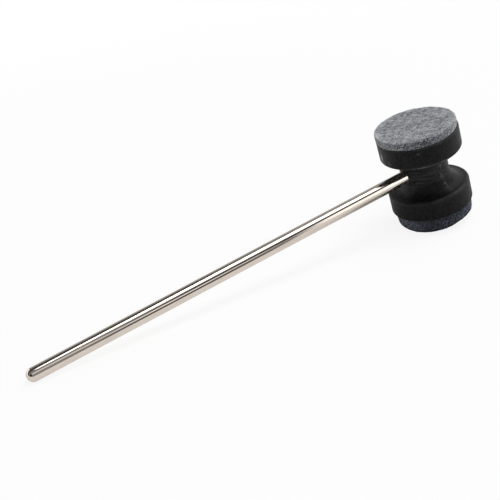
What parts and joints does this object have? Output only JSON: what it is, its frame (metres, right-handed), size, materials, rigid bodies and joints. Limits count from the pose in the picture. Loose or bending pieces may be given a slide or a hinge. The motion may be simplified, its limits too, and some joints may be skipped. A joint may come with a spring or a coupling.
{
  "type": "bass drum beater",
  "caption": "Two-faced bass drum beater: a straight plated steel rod with a rounded end carries a waisted rubber head with a felt disc on each end face.",
  "frame": {"origin": "on the rod's axis, where the rod's straight wall begins behind its rounded free end", "axes": "+X along the rod towards the head; +Z along the head's axis towards the light felt; +Y completes the right-handed frame"},
  "size_m": [0.2808, 0.0482, 0.0596],
  "materials": {
    "nickel_plate": "bright nickel plate on a drawn steel rod",
    "steel": "turned steel",
    "black_rubber": "satin moulded rubber",
    "glue": "dried contact glue",
    "light_felt": "pressed wool felt, light grey, mottled",
    "dark_felt": "wool felt, dark blue-grey"
  },
  "bodies": {
    "root": {"beater_shaft": "nickel_plate", "anchor_bush": "steel", "cross_pin": "steel", "head_body": "black_rubber", "light_felt_glue": "glue", "light_felt_disc": "light_felt", "dark_felt_glue": "glue", "dark_felt_disc": "dark_felt"}
  },
  "joints": []
}
